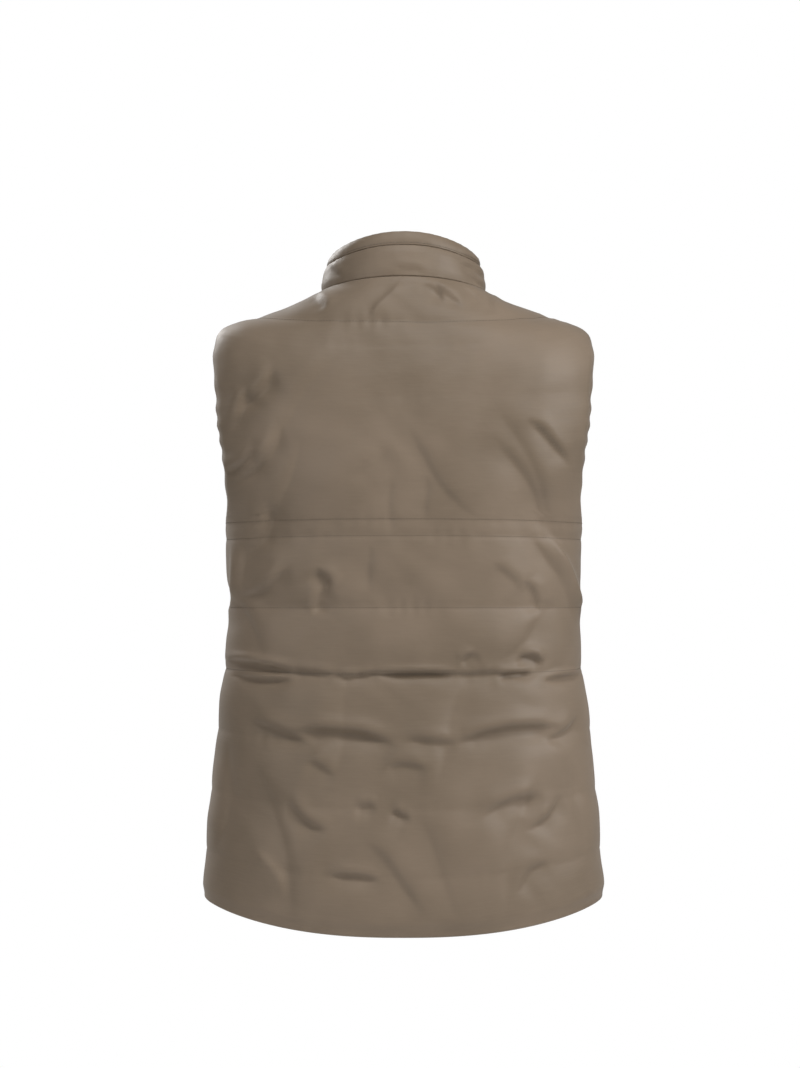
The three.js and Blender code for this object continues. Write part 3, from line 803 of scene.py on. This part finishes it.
sewn = [(back_sheet, (YOKE_RING, *STITCHED_RINGS)), (band_sheet, (COLLAR_STITCHED_RING,))]
sewn += [(sheet, STITCHED_RINGS) for sheet, _ in front_sheets.values()]
make_stitching(sewn, thread_finish())
make_teeth(tooth_finish())
tape, metal = tape_finish(), metal_finish()
for node, material in (
    ("zip_tape_left", tape),
    ("zip_tape_right", tape),
    ("zip_slider", metal),
    ("zip_pull", metal),
):
    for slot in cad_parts[node].material_slots:
        slot.material = material


# ------------------------------------------------------------------ floor, light and camera, in metres

FLOOR_DROP = 0.56  # below the hem, since the vest hangs at the height at which it is worn
FLOOR_RADIUS = 1.8
FLOOR_GLOW = 0.55  # how far the floor is shown as plain white, to lose its rim in the white around it
SOFT_LIGHT = 0.25  # the world's strength as a light; where it is seen, it is 1
LAMPS = (  # name, place, size, power
    ("key", (-2.2, 1.5, 0.9), 1.1, 50),
    ("fill", (2.0, 2.6, 0.2), 1.6, 17),
    ("top", (-0.2, 1.6, 2.1), 0.8, 28),
    ("front_key", (1.8, -2.2, 1.3), 1.2, 60),
)
LIT_PLACE = (0, 0, -0.3)  # the lamps point here, near the vest's middle
CAMERA_PLACE = (0.0038, 3.0, -0.253)
SENSOR_WIDTH = 36  # millimetres, as is the lens
LENS_PER_WIDTH = 3.41  # the lens's length over the sensor's width


def make_floor():
    bm = bmesh.new()
    bmesh.ops.create_circle(bm, cap_ends=True, segments=96, radius=FLOOR_RADIUS)
    bmesh.ops.translate(bm, verts=bm.verts, vec=(0, 0, cad_bounds[0][2] - FLOOR_DROP))
    mesh = bpy.data.meshes.new("floor")
    bm.to_mesh(mesh)
    bm.free()
    floor = bpy.data.objects.new("floor", mesh)
    bpy.context.scene.collection.objects.link(floor)
    finish = Finish("pale_floor")
    lit = finish.node("ShaderNodeBsdfDiffuse", None, {"Color": (0.86, 0.86, 0.86, 1)})
    white = finish.node("ShaderNodeEmission", None, {"Color": (1, 1, 1, 1)})
    seen = finish.node("ShaderNodeLightPath") * FLOOR_GLOW
    mixed = finish.node("ShaderNodeMixShader", None, {0: seen, 1: lit, 2: white})
    finish.node("ShaderNodeOutputMaterial", None, {"Surface": mixed})
    mesh.materials.append(finish.material)


def make_world():
    """Plain white where it is seen, and a soft even light on everything."""
    world = bpy.data.worlds.new("studio")
    world.use_nodes = True
    bpy.context.scene.world = world
    tree = world.node_tree
    tree.nodes.clear()
    rays = tree.nodes.new("ShaderNodeLightPath")
    seen = tree.nodes.new("ShaderNodeMath")
    seen.operation = "MAXIMUM"
    tree.links.new(rays.outputs["Is Camera Ray"], seen.inputs[0])
    tree.links.new(rays.outputs["Is Transmission Ray"], seen.inputs[1])
    soft, white = (tree.nodes.new("ShaderNodeBackground") for _ in range(2))
    for background in (soft, white):
        background.inputs["Color"].default_value = (1, 1, 1, 1)
    soft.inputs["Strength"].default_value = SOFT_LIGHT
    white.inputs["Strength"].default_value = 1.0
    mix = tree.nodes.new("ShaderNodeMixShader")
    tree.links.new(seen.outputs[0], mix.inputs[0])
    tree.links.new(soft.outputs[0], mix.inputs[1])
    tree.links.new(white.outputs[0], mix.inputs[2])
    out = tree.nodes.new("ShaderNodeOutputWorld")
    tree.links.new(mix.outputs[0], out.inputs["Surface"])


def add_lamp(name, place, size, power):
    lamp = bpy.data.lights.new(name, "AREA")
    lamp.shape, lamp.size, lamp.energy = "DISK", size, power
    holder = bpy.data.objects.new(name, lamp)
    holder.location = place
    holder.rotation_euler = (Vector(LIT_PLACE) - Vector(place)).to_track_quat("-Z", "Y").to_euler()
    bpy.context.scene.collection.objects.link(holder)


def make_camera():
    camera = bpy.data.cameras.new("camera")
    camera.sensor_fit, camera.sensor_width = "HORIZONTAL", SENSOR_WIDTH
    camera.lens = LENS_PER_WIDTH * SENSOR_WIDTH
    holder = bpy.data.objects.new("camera", camera)
    holder.location = CAMERA_PLACE
    holder.rotation_euler = (math.pi / 2, 0, math.pi)
    bpy.context.scene.collection.objects.link(holder)
    bpy.context.scene.camera = holder


make_floor()
make_world()
for lamp_row in LAMPS:
    add_lamp(*lamp_row)
make_camera()
bpy.context.scene.view_settings.view_transform = "Standard"
